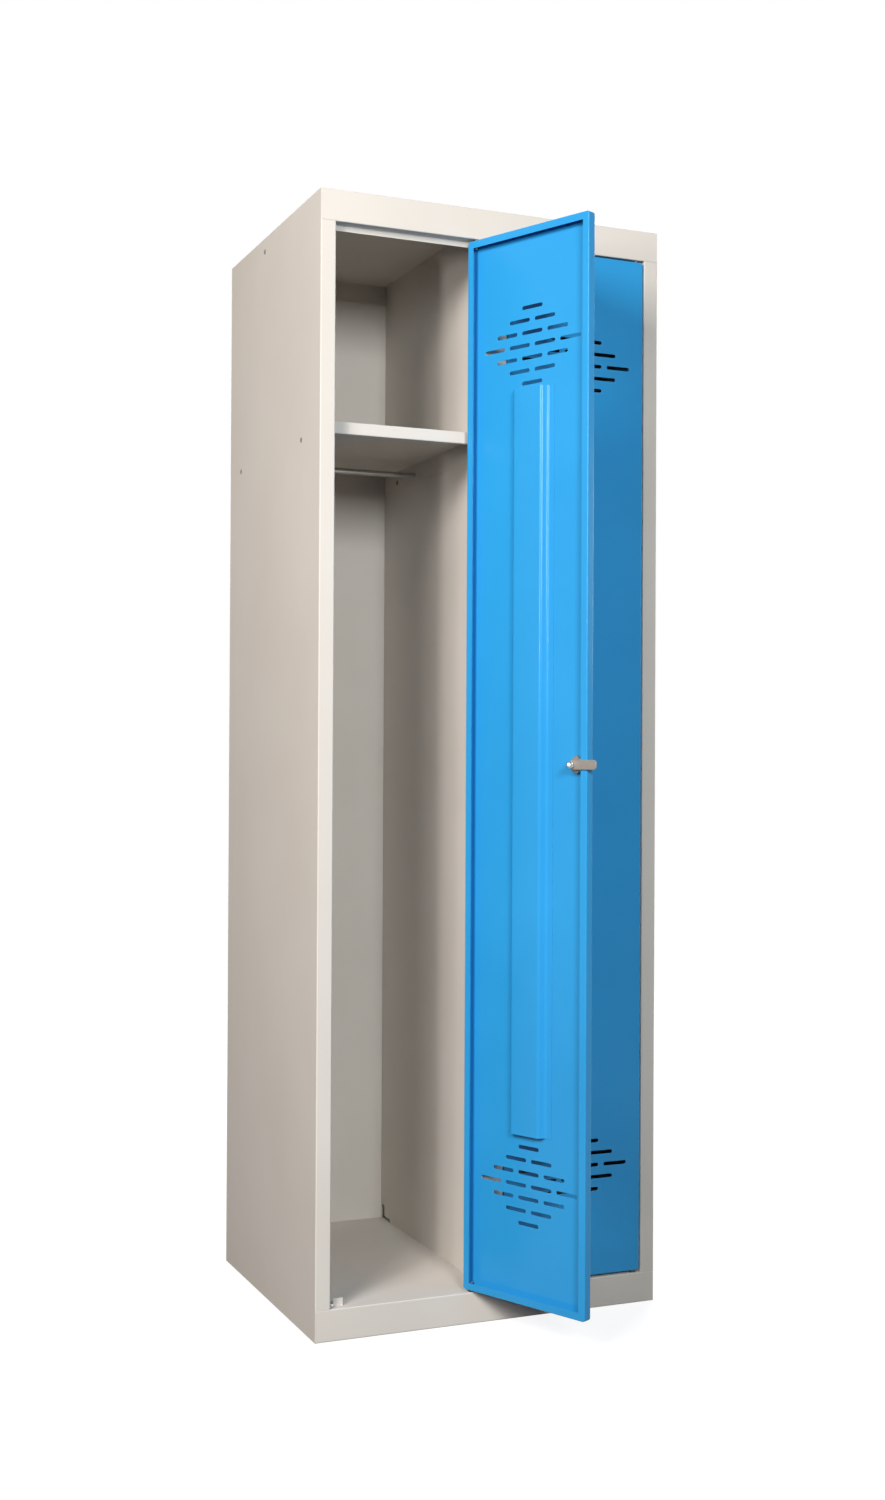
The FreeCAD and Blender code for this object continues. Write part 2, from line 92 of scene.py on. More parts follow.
lens = bpy.data.cameras.new("viewpoint")
lens.sensor_fit = "VERTICAL"
lens.sensor_height = sensor_height_mm
lens.lens = focal_length_px / picture_height_px * sensor_height_mm
camera = bpy.data.objects.new("viewpoint", lens)
turns = ((heading_deg, "Z"), (tilt_deg, "X"), (lean_deg, "Z"))
camera.matrix_world = Matrix.Translation(viewpoint)
for degrees, axis in turns:
    camera.matrix_world = camera.matrix_world @ Matrix.Rotation(math.radians(degrees), 4, axis)
bpy.context.scene.collection.objects.link(camera)
bpy.context.scene.camera = camera
bpy.context.scene.view_settings.view_transform = "Standard"
print("lens", round(lens.lens, 2), "mm")

# %% [markdown]
# ## Colours and nodes
# Paint colours are easiest to write as the hex values seen on a screen, but a shader works in linear light,
# so one function converts them. One more function adds a shader node: plain values set its sockets, and the
# output of another node is linked to it.

# %% Helpers for materials
def linear(hex_colour):
    """A screen colour as linear light: each channel is undone from the sRGB curve."""
    coded = np.array([int(hex_colour[i:i + 2], 16) for i in (1, 3, 5)]) / 255
    light = np.where(coded <= 0.04045, coded / 12.92, ((coded + 0.055) / 1.055) ** 2.4)
    return (*light.tolist(), 1.0)


def add_node(tree, kind, inputs=(), **settings):
    """Adds a node, sets its properties, and fills its sockets with values or links."""
    node = tree.nodes.new("ShaderNode" + kind)
    for name, value in settings.items():
        setattr(node, name, value)
    for name, value in dict(inputs).items():
        if isinstance(value, bpy.types.NodeSocket):
            tree.links.new(value, node.inputs[name])
        else:
            node.inputs[name].default_value = value
    return node


def per_metre(size_mm):
    """A texture scale that gives features of this size: one noise cell is one unit divided by the scale."""
    return 1000.0 / size_mm


def new_material(name):
    """An empty node material, with its tree, its shader and its object coordinates."""
    material = bpy.data.materials.new(name)
    material.use_nodes = True
    tree = material.node_tree
    shader = tree.nodes["Principled BSDF"]
    place = add_node(tree, "TexCoord").outputs["Object"]
    return material, tree, shader, place


print("grey is", [round(channel, 3) for channel in linear("#D8D2CB")])

# %% [markdown]
# ## Powder coat
# The panels and doors are steel sprayed with powder and baked. Baked powder has a soft sheen, a faint
# orange-peel skin of gentle bumps a few millimetres across, and thins on sharp edges. A plain colour would
# look like plastic, so the colour drifts slightly, the gloss varies, and a bevel node finds the edges: there
# the blurred normal differs from the true one. The edges are painted lighter in spots: partly paint that
# thins and wears there, and partly a painted highlight for the light that rounded edges catch.

# %% Powder coat material
# Each pattern's size in millimetres, and its octaves of finer detail.
coat_patterns = {"drift": (260.0, 4.0), "chips": (14.0, 5.0), "gloss": (45.0, 3.0), "peel": (3.5, 1.0),
                 "buckle": (330.0, 0.0)}
drift_low, drift_high = 0.3, 0.7
peel_strength, peel_height = 0.35, 0.03 * mm
buckle_strength, buckle_height = 0.5, 1.2 * mm
edge_radius = 1.2 * mm
# The edge mask: where the blurred and true normals part, and the largest share of the edge colour, which is
# wear and a painted highlight.
edge_start, edge_full, edge_wear_and_highlight = 0.97, 0.75, 0.55
gloss_swing = 0.06
resin_ior = 1.5


def powder_coat(name, colour, shade, thin_edge_and_highlight, roughness, shine):
    """Baked powder paint: drifting colour, lighter edges from wear and a painted highlight, orange peel and
    slightly buckled sheet.
    """
    material, tree, shader, place = new_material(name)
    noise = {}
    for pattern, (size_mm, detail) in coat_patterns.items():
        inputs = {"Vector": place, "Scale": per_metre(size_mm), "Detail": detail}
        noise[pattern] = add_node(tree, "TexNoise", inputs).outputs["Fac"]
    cloud = add_node(tree, "MapRange", {"Value": noise["drift"], "From Min": drift_low,
                                        "From Max": drift_high})
    body = add_node(tree, "Mix", {"Factor": cloud.outputs["Result"], 6: linear(colour), 7: linear(shade)},
                    data_type="RGBA")
    blurred = add_node(tree, "Bevel", {"Radius": edge_radius}, samples=4)
    true = add_node(tree, "NewGeometry")
    match = add_node(tree, "VectorMath", {0: blurred.outputs["Normal"], 1: true.outputs["Normal"]},
                     operation="DOT_PRODUCT")
    edge = add_node(tree, "MapRange", {"Value": match.outputs["Value"], "From Min": edge_start,
                                       "From Max": edge_full, "To Max": edge_wear_and_highlight})
    # Edges painted lighter in spots: wear of the paint, and a painted highlight on the edges.
    worn_and_lit_edge = add_node(tree, "Math", {0: edge.outputs["Result"], 1: noise["chips"]}, operation="MULTIPLY")
    paint = add_node(tree, "Mix", {"Factor": worn_and_lit_edge.outputs["Value"], 6: body.outputs[2], 7: linear(thin_edge_and_highlight)},
                     data_type="RGBA")
    rough = add_node(tree, "MapRange", {"Value": noise["gloss"], "To Min": roughness - gloss_swing,
                                        "To Max": roughness + gloss_swing})
    skin = add_node(tree, "Bump", {"Height": noise["peel"], "Strength": peel_strength,
                                   "Distance": peel_height})
    wave = add_node(tree, "Bump", {"Height": noise["buckle"], "Strength": buckle_strength,
                                   "Distance": buckle_height, "Normal": skin.outputs["Normal"]})
    tree.links.new(paint.outputs[2], shader.inputs["Base Color"])
    tree.links.new(rough.outputs["Result"], shader.inputs["Roughness"])
    tree.links.new(wave.outputs["Normal"], shader.inputs["Normal"])
    shader.inputs["IOR"].default_value = resin_ior
    shader.inputs["Specular IOR Level"].default_value = shine
    return material


# The third colour goes on the edges: paint wear and a painted highlight.
grey_paint = powder_coat("powder_coat_warm_grey", "#D8D2CB", "#D3CCC4", "#E9E4DD", 0.75, 0.03)
blue_paint = powder_coat("powder_coat_sky_blue", "#2D97D4", "#2891CE", "#6AB7E7", 0.2, 0.18)
print("painted finishes", grey_paint.name, blue_paint.name)

# %% [markdown]
# ## Bare metal and nylon
# The rod, the pins, the rivets and the cam screws are zinc-plated steel, the rivets gone dull and the
# screws still bright. The rest of the lock is die-cast zinc under a dulled nickel plate. Metals differ
# mostly in how rough and how even they are, so one function makes them all, with a cloudy tarnish in the
# colour and fine streaks in the gloss. The hinge bushes are black moulded nylon.

# %% Metal and nylon materials
streak_stretch = (0.2, 1.0, 1.0)
streak_swing = 0.1
grain_strength, grain_height = 0.3, 0.02 * mm
nylon_grain_mm, nylon_roughness, nylon_ior = 2.0, 0.45, 1.53


def plated_metal(name, colour, tarnish, roughness, cloud_mm, streak_mm, metallic=1.0):
    """Plated metal: two tones in clouds, and gloss in short streaks. A dulled plate is less metallic."""
    material, tree, shader, place = new_material(name)
    cloud = add_node(tree, "TexNoise", {"Vector": place, "Scale": per_metre(cloud_mm), "Detail": 5.0})
    tone = add_node(tree, "Mix", {"Factor": cloud.outputs["Fac"], 6: linear(colour), 7: linear(tarnish)},
                    data_type="RGBA")
    stretch = add_node(tree, "Mapping", {"Vector": place, "Scale": streak_stretch})
    streak = add_node(tree, "TexNoise", {"Vector": stretch.outputs["Vector"], "Scale": per_metre(streak_mm),
                                         "Detail": 3.0})
    rough = add_node(tree, "MapRange", {"Value": streak.outputs["Fac"], "To Min": roughness - streak_swing,
                                        "To Max": roughness + streak_swing})
    grain = add_node(tree, "Bump", {"Height": streak.outputs["Fac"], "Strength": grain_strength,
                                    "Distance": grain_height})
    tree.links.new(tone.outputs[2], shader.inputs["Base Color"])
    tree.links.new(rough.outputs["Result"], shader.inputs["Roughness"])
    tree.links.new(grain.outputs["Normal"], shader.inputs["Normal"])
    shader.inputs["Metallic"].default_value = metallic
    return material


def moulded_nylon(name, colour, shade):
    """Moulded nylon: a waxy sheen over a fine moulded grain."""
    material, tree, shader, place = new_material(name)
    grain = add_node(tree, "TexNoise", {"Vector": place, "Scale": per_metre(nylon_grain_mm), "Detail": 3.0})
    tone = add_node(tree, "Mix", {"Factor": grain.outputs["Fac"], 6: linear(colour), 7: linear(shade)},
                    data_type="RGBA")
    skin = add_node(tree, "Bump", {"Height": grain.outputs["Fac"], "Strength": grain_strength,
                                   "Distance": grain_height})
    tree.links.new(tone.outputs[2], shader.inputs["Base Color"])
    tree.links.new(skin.outputs["Normal"], shader.inputs["Normal"])
    shader.inputs["Roughness"].default_value = nylon_roughness
    shader.inputs["IOR"].default_value = nylon_ior
    return material


bright_zinc = plated_metal("zinc_plate_on_drawn_rod", "#C9C8C4", "#A9A8A4", 0.34, 60.0, 6.0)
dull_zinc = plated_metal("zinc_plate_on_set_rivets", "#8F8B85", "#77736D", 0.5, 5.0, 2.0)
screw_zinc = plated_metal("zinc_plate_on_cam_screw", "#E6E6E4", "#CDCDCA", 0.24, 4.0, 1.0)
nickel = plated_metal("dulled_nickel_on_cast_lock", "#948D86", "#847D75", 0.34, 9.0, 1.5, metallic=0.25)
nylon = moulded_nylon("moulded_black_nylon", "#2C2C2B", "#242423")
print("metals", bright_zinc.name, dull_zinc.name, screw_zinc.name, nickel.name, "and", nylon.name)

# %% [markdown]
# ## From patches to a piece
# Every piece is made of patches: a grid of points and the faces between them. Welding patches into one
# closed skin is like welding sheet: equal points become one, and where two patches meet back to back, both
# faces go, because the metal runs on. The normals are then turned outwards, and shading is smooth except
# across real edges.

# %% Welding and placing
weld_distance = 0.001 * mm
grid_shift = 0.37
crease_deg = 30.0


def without_repeats(quads):
    """Splits faces by shape: a quad with two equal neighbours is a triangle, and with more it is nothing."""
    repeats = quads == np.roll(quads, -1, axis=1)
    count = repeats.sum(axis=1)
    return quads[count == 0], quads[count == 1][~repeats[count == 1]].reshape(-1, 3)


def without_pairs(faces):
    """Leaves out faces that lie back to back: those whose set of corners occurs twice."""
    _, group, count = np.unique(np.sort(faces, axis=1), axis=0, return_inverse=True, return_counts=True)
    return faces[count[group.reshape(-1)] == 1]


def welded(patches):
    """One set of points and faces: points are equal when they fall in the same cell of a very fine grid."""
    points = np.concatenate([patch[0] for patch in patches])
    cells = np.round(points / weld_distance + grid_shift)
    _, first, same = np.unique(cells, axis=0, return_index=True, return_inverse=True)
    starts = np.cumsum([0] + [len(patch[0]) for patch in patches])
    faces = [same.reshape(-1)[patch[1] + start] for patch, start in zip(patches, starts)]
    quads, pinched = without_repeats(np.concatenate([group for group in faces if group.shape[1] == 4]))
    triangles = np.concatenate([group for group in faces if group.shape[1] == 3] + [pinched])
    return points[first], without_pairs(quads).tolist() + without_pairs(triangles).tolist()


def make_piece(node, material, patches):
    """A finished piece that stands for a node of the model, rides on its body and wears the given material.
    """
    points, faces = welded(patches)
    mesh = bpy.data.meshes.new(node + "_finished")
    mesh.from_pydata(points.tolist(), [], faces)
    skin = bmesh.new()
    skin.from_mesh(mesh)
    bmesh.ops.recalc_face_normals(skin, faces=skin.faces)
    open_edges = sum(not edge.is_manifold for edge in skin.edges)
    skin.to_mesh(mesh)
    skin.free()
    mesh.shade_smooth()
    mesh.set_sharp_from_angle(angle=math.radians(crease_deg))
    mesh.materials.append(material)
    piece = bpy.data.objects.new(node + "_finished", mesh)
    bpy.context.scene.collection.objects.link(piece)
    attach(piece, frame["nodes"][node]["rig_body"])
    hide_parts(node)
    print(f"{piece.name}: {len(mesh.polygons)} faces, {open_edges} open edges")


def mirrored(patches):
    """The same patches on the other side of the middle plane."""
    return [(points * (-1, 1, 1), faces) for points, faces in patches]


# %% [markdown]
# ## Folded sheet
# Almost all of the locker is sheet 0.8 mm thick, folded on a press with a bend radius of about a
# millimetre. A fold could be a beveled box edge, but then the thickness would be wrong inside the bend.
# Here the sheet follows a path: at each corner both faces are arcs about one centre, and the profile is
# carried straight along the panel. Cells of the grid can be cut away, which leaves walls as thick as the
# sheet, as a punch or a shear does.

# %% Helpers for folded sheet
sheet = 0.8 * mm
bend = 1.0 * mm
fold = bend + sheet
corner_gap = 0.5 * mm
relief = fold + corner_gap
bend_steps = 8
flat_margin = 0.4 * mm
no_turn = 1e-9
beyond = 9.0


def fold_profile(path, radius=bend):
    """The near and far faces of a sheet along a path, with the metal on the path's left.

    At a corner the inner face is an arc of the bend radius and the outer one is a sheet larger, about the
    same centre. A point just outside each arc keeps the flat next to it flat when the shading is smooth.
    """
    path = np.array(path, float)
    heading = np.diff(path, axis=0)
    heading /= np.linalg.norm(heading, axis=1, keepdims=True)
    left = np.stack([-heading[:, 1], heading[:, 0]], axis=1)
    near = [path[:1]]
    far = [path[:1] + left[:1] * sheet]
    for i, corner in enumerate(path[1:-1]):
        into, out, side = heading[i], heading[i + 1], left[i]
        turn = math.atan2(into[0] * out[1] - into[1] * out[0], into @ out)
        if abs(turn) < no_turn:
            near.append(corner[None])
            far.append(corner[None] + side * sheet)
            continue
        way = math.copysign(1, turn)
        reach = radius + sheet if way > 0 else radius
        centre = corner - into * reach * math.tan(abs(turn) / 2) + side * way * reach
        angles = turn * np.linspace(0, 1, bend_steps + 1)[:, None]
        spokes = -way * (side * np.cos(angles) - into * np.sin(angles))
        for face, size in ((near, reach), (far, reach - way * sheet)):
            arc = centre + spokes * size
            before = np.linalg.norm(arc[0] - face[-1][-1]) > 2 * flat_margin
            after = np.linalg.norm(path[i + 2] - corner) > 2 * reach
            lead_in = arc[:1] - into * flat_margin if before else arc[:1]
            lead_out = arc[-1:] + out * flat_margin if after else arc[-1:]
            face.append(np.concatenate([lead_in, arc, lead_out]))
    near.append(path[-1:])
    far.append(path[-1:] + left[-1:] * sheet)
    return np.concatenate(near), np.concatenate(far)


def sheet_patch(faces, stations, across, cuts=()):
    """A closed sheet: profile point i at station j, on the near and on the far face.

    The profile is in (x, y) when it is carried along "z", (y, z) along "x" and (x, z) along "y". Cells whose
    centre lies in a cut are left out, and a wall joins the two faces wherever a kept cell meets no other.
    """
    profile = np.stack(faces)
    shape = (*profile.shape[:2], len(stations))
    first, second = (np.broadcast_to(profile[:, :, k, None], shape) for k in (0, 1))
    run = np.broadcast_to(np.array(stations, float), shape)
    order = {"z": (first, second, run), "x": (run, first, second), "y": (first, run, second)}
    points = np.stack(order[across], axis=-1)
    corners = (points[:, :-1, :-1], points[:, 1:, :-1], points[:, :-1, 1:], points[:, 1:, 1:])
    middle = sum(corners).mean(axis=0) / 4
    kept = np.ones(middle.shape[:2], bool)
    for low, high in cuts:
        kept &= ~((middle > low) & (middle < high)).all(axis=-1)
    number = np.arange(points[..., 0].size).reshape(shape)
    skin = [number[:, :-1, :-1], number[:, 1:, :-1], number[:, 1:, 1:], number[:, :-1, 1:]]
    side_wall = [number[0, :, :-1], number[0, :, 1:], number[1, :, 1:], number[1, :, :-1]]
    end_wall = [number[0, :-1], number[0, 1:], number[1, 1:], number[1, :-1]]
    skins, side_walls, end_walls = (np.stack(quad, axis=-1) for quad in (skin, side_wall, end_wall))
    framed = np.pad(kept, 1)
    side_edges = framed[:-1, 1:-1] != framed[1:, 1:-1]
    end_edges = framed[1:-1, :-1] != framed[1:-1, 1:]
    quads = [skins[0][kept], skins[1][kept], side_walls[side_edges], end_walls[end_edges]]
    return points.reshape(-1, 3), np.concatenate(quads)


print("bend of", bend / mm, "mm drawn in", bend_steps, "steps")

# %% [markdown]
# ## Side panels
# Each side is one sheet: a narrow rear flange, the wall, the front stile and the stile's return. The stile
# stops at the plinth and under the rail, so there the profile ends just round the bend. The right side is
# the mirror image of the left one.

# %% Side panels
rear_flange = 20 * mm
frame_return = 15 * mm
side_low, side_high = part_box("left_side_panel")
post_low, post_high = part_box("centre_post")
front, back, height = side_low.y, side_high.y, side_high.z
floor_level, rail_level = post_low.z, post_high.z


def side_panel():
    """The profile from the rear flange round to the stile's return, carried up, less the stile's two ends."""
    outer, inner = side_low.x, side_high.x
    path = [(outer + rear_flange, back), (outer, back), (outer, front), (inner, front)]
    profile = fold_profile(path + [(inner, front + frame_return)])
    stile_back = front + frame_return + sheet
    below = ((outer + sheet, -beyond, -beyond), (beyond, stile_back, floor_level))
    above = ((outer + sheet, -beyond, rail_level), (beyond, stile_back, beyond))
    return [sheet_patch(profile, (0, floor_level, rail_level, height), "z", (below, above))]


make_piece("left_side_panel", grey_paint, side_panel())
make_piece("right_side_panel", grey_paint, mirrored(side_panel()))

# %% [markdown]
# ## Roof, floor and shelves
# These are trays: a flat sheet whose four edges are folded down, with small gaps at the corners so that the
# folds do not collide. The front edge of the roof goes on to become the rail and the lip that the doors
# shut against, and the front edge of the floor becomes the plinth. The flat and its folds share their end
# points, so they weld.

# %% Trays
def tray(x, y, level, front_path, side_depth, back_depth, full_front=True, x_breaks=(), y_breaks=(), cuts=()):
    """A flat with folded edges, the front one going on along a path in (y, z).

    A full front is as wide as the tray. Breaks are extra grid lines, for cuts that end inside the flat.
    """
    xs = sorted([x[0] + fold, x[0] + relief, x[1] - relief, x[1] - fold, *x_breaks])
    ys = sorted([y[0] + fold, y[0] + relief, y[1] - relief, y[1] - fold, *y_breaks])
    front_xs = [x[0], *xs, x[1]] if full_front else xs[1:-1]
    under = level - sheet
    left = [(x[0] + fold, level), (x[0], level), (x[0], level - side_depth)]
    right = [(x[1], level - side_depth), (x[1], level), (x[1] - fold, level)]
    rear = [(y[1], level - back_depth), (y[1], level), (y[1] - fold, level)]
    return [
        sheet_patch(fold_profile([(at, under) for at in xs]), ys, "y", cuts),
        sheet_patch(fold_profile([(y[0] + fold, level), (y[0], level)] + front_path), front_xs, "x"),
        sheet_patch(fold_profile(left), ys[1:-1], "y"),
        sheet_patch(fold_profile(right), ys[1:-1], "y"),
        sheet_patch(fold_profile(rear), xs[1:-1], "x"),
    ]


roof_low, roof_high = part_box("roof_panel")
rail_return = 20 * mm
roof_flange = 35 * mm
lip_face = front + rail_return
rail = [(front, rail_level), (lip_face, rail_level), (lip_face, roof_low.z)]
span = (roof_low.x, roof_high.x)
reach_back = (front, roof_high.y)
make_piece("roof_panel", grey_paint, tray(span, reach_back, height, rail, roof_flange, roof_flange))

# %% [markdown]
# ## Floor with its stop tabs
# Behind the free edge of each door a small tab is lanced out of the floor: cut on three sides and bent up,
# which leaves a hole of its own shape. The hole is cut from the grid and the tab is welded to its front
# edge.

# %% Floor
plinth_foot = 12 * mm
floor_flange = 25 * mm
tab_width = 16 * mm
tab_height = 12 * mm
tab_inset = 8 * mm
tab_margin = 1 * mm
tab_gap = 0.3 * mm
floor_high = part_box("floor_panel")[1]
door_low, door_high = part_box("right_door")
door_shift = pivots["right_door_swing"].x - pivots["left_door_swing"].x
tab_rear = door_high.y + tab_gap + sheet
tab_starts = (door_low.x - door_shift + tab_inset, door_low.x + tab_inset)
under_floor = floor_level - sheet

tab_stops = (-tab_margin, 0, tab_width, tab_width + tab_margin)
tab_breaks = [start + stop for start in tab_starts for stop in tab_stops]
hole_y = (tab_rear - fold, tab_rear + tab_height)
tab_holes = [((start - tab_margin, hole_y[0], -beyond), (start + tab_width + tab_margin, hole_y[1], beyond))
             for start in tab_starts]
plinth = [(front, 0.0), (front + plinth_foot, 0.0)]
floor = tray(span, reach_back, floor_level, plinth, floor_flange, floor_flange,
             x_breaks=tab_breaks, y_breaks=hole_y, cuts=tab_holes)
tab_path = [(tab_rear - fold, under_floor), (tab_rear, under_floor), (tab_rear, floor_high.z)]
tabs = [sheet_patch(fold_profile(tab_path), (start, start + tab_width), "x") for start in tab_starts]
make_piece("floor_panel", grey_paint, floor + tabs)

# %% [markdown]
# ## Hat shelves
# A shelf is the same tray with a hemmed lip in front. Its deep sides hang on the wall and on the divider,
# and carry the coat rail.

# %% Hat shelves
shelf_low, shelf_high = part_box("left_hat_shelf")
shelf_lip = 19.5 * mm
shelf_hem = 10 * mm
shelf_lip_level = shelf_high.z - shelf_lip
shelf_x = (shelf_low.x, shelf_high.x)
shelf_y = (shelf_low.y, shelf_high.y)
hem = [(shelf_low.y, shelf_lip_level), (shelf_low.y + shelf_hem, shelf_lip_level)]
shelf_depth = shelf_high.z - shelf_low.z
shelf = tray(shelf_x, shelf_y, shelf_high.z, hem, shelf_depth, shelf_lip, full_front=False)
make_piece("left_hat_shelf", grey_paint, shelf)
make_piece("right_hat_shelf", grey_paint, mirrored(shelf))

# %% [markdown]
# ## Post and divider
# The post between the doors is a plain channel. Behind it stands the wall between the compartments, one
# sheet flanged to the post and to the back, notched round the rail and the roof's flange, with an L-shaped
# slot at the foot. The slot is drawn wider than in the model, where it is too narrow to show.

# %% Post and divider
post_path = [(post_low.x, post_high.y), (post_low.x, front), (post_high.x, front), (post_high.x, post_high.y)]
make_piece("centre_post", grey_paint, [sheet_patch(fold_profile(post_path), (floor_level, rail_level), "z")])

notch_gap = 1.5 * mm
slot_setback, slot_width, slot_rise = 4 * mm, 14 * mm, 26 * mm
slot_run, slot_foot = 42 * mm, 6 * mm
divider_low, divider_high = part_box("centre_divider")
divider_flange = 15 * mm
post_face = front + sheet
lip_front = lip_face - notch_gap
lip_back = lip_face + sheet + notch_gap
over_return = rail_level + sheet + notch_gap
under_return = rail_level - notch_gap
under_lip = roof_low.z - notch_gap
flange_back = divider_high.y - sheet - notch_gap
under_flange = height - roof_flange - notch_gap
slot_back = divider_high.y - slot_setback
wall_stops = (flange_back, slot_back, slot_back - slot_width, slot_back - slot_run, lip_back, lip_front,
              post_face + relief)
wall_x = divider_low.x
divider_path = [(divider_flange, divider_high.y), (wall_x, divider_high.y)]
divider_path += [(wall_x, stop) for stop in wall_stops]
divider_path += [(wall_x, post_face), (divider_high.x, post_face)]
divider_levels = (floor_level, floor_level + slot_foot, floor_level + slot_rise, under_lip, under_return,
                  rail_level, over_return, under_flange, divider_high.z)
divider_cuts = [
    ((-beyond, -beyond, under_return), (beyond, lip_back, over_return)),
    ((-beyond, lip_front, under_lip), (beyond, lip_back, over_return)),
    ((-beyond, -beyond, rail_level), (beyond, post_face + relief, beyond)),
    ((-beyond, flange_back, under_flange), (beyond, beyond, beyond)),
    ((-beyond, slot_back - slot_width, -beyond), (beyond, slot_back, floor_level + slot_rise)),
    ((-beyond, slot_back - slot_run, -beyond), (beyond, slot_back, floor_level + slot_foot)),
]
make_piece("centre_divider", grey_paint,
           [sheet_patch(fold_profile(divider_path), divider_levels, "z", divider_cuts)])

# %% [markdown]
# ## Back panel
# The back is a flat rectangle inside the rear flanges. Its shape in the model is already right, so it only
# gets the paint.

# %% Back panel
frame["nodes"]["back_panel"].material_slots[0].material = grey_paint
print("back panel keeps its shape and takes", grey_paint.name)

# %% [markdown]
# ## Door pans
# A door is a shallow pan: its four edges are turned back and then in, as a lip. The rim is a folded profile
# carried round a rounded rectangle: a point at some inset from the edge sits on a smaller corner arc, or on
# the corner itself once the inset passes the corner radius. The flat field inside the rim is filled with
# triangles round the slots, once for both faces. Each slot gets a wall with slightly rolled edges, as a
# punch leaves them.

# %% The rim of a door
door_depth = door_high.y - door_low.y
door_lip = 12 * mm
door_corner = 5 * mm
field_inset = 6 * mm
corner_steps = 6
four_corners = np.array([(1, 1), (-1, 1), (-1, -1), (1, -1)])
door_half = ((door_high.x - door_low.x) / 2, (door_high.z - door_low.z) / 2)
door_middle = ((door_high.x + door_low.x) / 2, (door_high.z + door_low.z) / 2)


def round_the_door(inset):
    """Points round the door at each inset: corner centres moved in, plus what is left of the radius."""
    quarter = np.arange(4)[:, None]
    angle = (quarter * math.pi / 2 + np.linspace(0, math.pi / 2, corner_steps + 1)).reshape(-1)
    side_x, side_z = np.repeat(four_corners, corner_steps + 1, axis=0).T
    moved = np.maximum(door_corner, inset)[:, None]
    radius = np.maximum(door_corner - inset, 0)[:, None]
    x = side_x * (door_half[0] - moved) + radius * np.cos(angle)
    z = side_z * (door_half[1] - moved) + radius * np.sin(angle)
    return x, z


def ring_patch(points):
    """A patch of rows that each run round a closed loop: quads join every row to the next one."""
    number = np.arange(points[..., 0].size).reshape(points.shape[:2])
    onward = np.roll(number, -1, axis=1)
    faces = np.stack([number[:-1], onward[:-1], onward[1:], number[1:]], axis=-1)
    return points.reshape(-1, 3), faces.reshape(-1, 4)


def in_door(x, depth, z):
    """Points of the closed right door from places about the middle of its front."""
    return np.stack(np.broadcast_arrays(x + door_middle[0], depth + door_low.y, z + door_middle[1]), axis=-1)


def door_rim():
    """The lip, the edge and the front fold as one profile in (inset, depth), carried round the door."""
    path = [(door_lip, door_depth), (0, door_depth), (0, 0), (field_inset, 0)]
    near, far = fold_profile(path)
    profile = np.concatenate([near[::-1], far])
    x, z = round_the_door(profile[:, 0])
    return ring_patch(in_door(x, profile[:, 1, None], z))


print("rim has", len(door_rim()[1]), "faces")

# %% The field of a door, with its slots
slot_length, slot_height = 42 * mm, 6 * mm
slot_pitch, row_pitch = 52 * mm, 20 * mm
vent_rows = (1, 2, 3, 4, 3, 2, 1)
vent_inset = 183 * mm
slot_end_steps = 8
lock_hole_radius, lock_hole_steps = 9.55 * mm, 48
rolled_edge, roll_steps = 0.25 * mm, 3
hole_flat = 0.3 * mm
hole_reach = rolled_edge + hole_flat
fill_tolerance = 1e-6
lock_x = pivots["right_lock_turn"].x - door_middle[0]
lock_z = pivots["right_lock_turn"].z - door_middle[1]


def slot_places():
    """The middles of all slots: two diamonds of rows, each row centred on the door."""
    counts = np.array(vent_rows)
    rows = np.repeat(np.arange(len(counts)), counts)
    columns = np.concatenate([np.arange(count) - (count - 1) / 2 for count in counts])
    x = columns * slot_pitch
    z = (len(counts) // 2 - rows) * row_pitch
    centre = door_half[1] - vent_inset
    return np.concatenate([np.stack([x, z + side * centre], axis=1) for side in (-1, 1)])


def slot_outline(growth):
    """A slot's outline about its middle: two half circles, the grown radius away from the ends' centres."""
    half_turn = np.linspace(-math.pi / 2, math.pi / 2, slot_end_steps + 1)
    angle = np.concatenate([half_turn, half_turn + math.pi])
    reach = np.repeat((1, -1), slot_end_steps + 1) * (slot_length - slot_height) / 2
    radius = slot_height / 2 + growth
    return np.stack([reach + radius * np.cos(angle), radius * np.sin(angle)], axis=1)


def lock_outline(growth):
    """The round hole for the lock, about its axis."""
    angle = np.arange(lock_hole_steps) * 2 * math.pi / lock_hole_steps
    return (lock_hole_radius + growth) * np.stack([np.cos(angle), np.sin(angle)], axis=1)


def quarter_roll(size):
    """A rolled edge: how far each row stands back and how deep it lies, along a quarter circle."""
    bow = np.linspace(0, math.pi / 2, roll_steps + 1)
    return size * (1 - np.sin(bow)), size * (1 - np.cos(bow))


def hole_wall(outline, centre):
    """A hole through the sheet: straight inside, rolled out by a quarter circle at each face.

    A narrow flat ring comes first, so that the smooth shading of the roll doesn't spread over the flat.
    """
    growth, depth = quarter_roll(rolled_edge)
    growth = np.concatenate([[hole_reach], growth])
    depth = np.concatenate([[0], depth])
    growths = np.concatenate([growth, growth[::-1]])
    depths = np.concatenate([depth, sheet - depth[::-1]])
    loops = np.stack([outline(step) for step in growths]) + centre
    return ring_patch(in_door(loops[..., 0], depths[:, None], loops[..., 1]))


def filled(outer, holes, inside_hole):
    """Triangles between an outline and holes in it, as rows of indices into all their points together."""
    loops = [outer, *holes]
    points = np.concatenate(loops)
    starts = np.cumsum([0] + [len(loop) for loop in loops])
    edges = [np.stack([np.arange(len(loop)), np.roll(np.arange(len(loop)), -1)], axis=1) + start
             for loop, start in zip(loops, starts)]
    flat = [Vector(point) for point in (points / mm).tolist()]
    made = delaunay_2d_cdt(flat, np.concatenate(edges).tolist(), [], 1, fill_tolerance)
    source = np.array([origins[0] for origins in made[3]])
    triangles = source[np.array(made[2])]
    return points, triangles[~inside_hole(points[triangles].mean(axis=1))]


